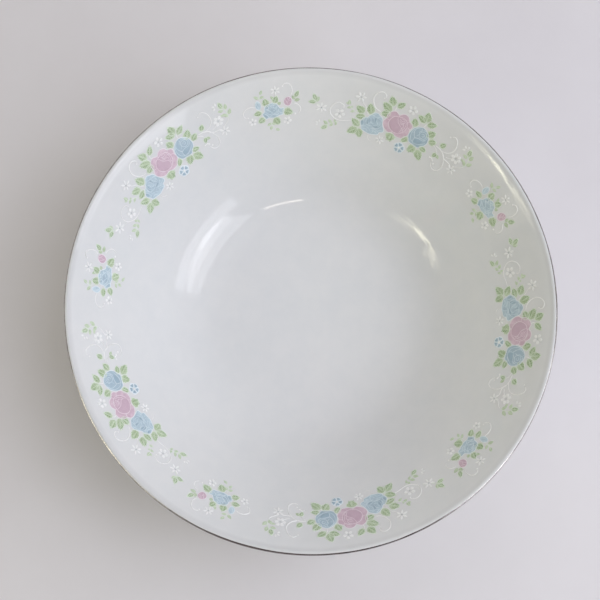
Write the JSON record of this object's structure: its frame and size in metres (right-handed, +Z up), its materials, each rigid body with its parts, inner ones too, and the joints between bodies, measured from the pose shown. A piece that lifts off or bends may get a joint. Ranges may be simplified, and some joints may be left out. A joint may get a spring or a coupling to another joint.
{
  "type": "serving bowl",
  "caption": "Round open porcelain serving bowl with a flaring wall, a turned-out lip, a foot ring, overglaze flower sprays inside and a thin platinum rim line.",
  "frame": {"origin": "centre of the foot ring in the plane that the bowl rests on", "axes": "+Z up along the bowl's axis of revolution; the bowl is round, and +X is the direction that the sprays' azimuths are counted from, anticlockwise seen from above"},
  "size_m": [0.229, 0.229, 0.0685],
  "materials": {
    "porcelain": "clear gloss glaze over white porcelain, unglazed on the foot ring's resting face",
    "platinum": "fired platinum lustre, hand lined, slightly worn",
    "overglaze_enamel": "fired overglaze enamel, pale blue, pink, green and raised white, satin gloss"
  },
  "bodies": {
    "root": {"bowl_body": "porcelain", "rim_band": "platinum", "large_spray_1": "overglaze_enamel", "large_spray_2": "overglaze_enamel", "large_spray_3": "overglaze_enamel", "large_spray_4": "overglaze_enamel", "large_spray_5": "overglaze_enamel", "small_spray_1": "overglaze_enamel", "small_spray_2": "overglaze_enamel", "small_spray_3": "overglaze_enamel", "small_spray_4": "overglaze_enamel", "small_spray_5": "overglaze_enamel"}
  },
  "joints": []
}
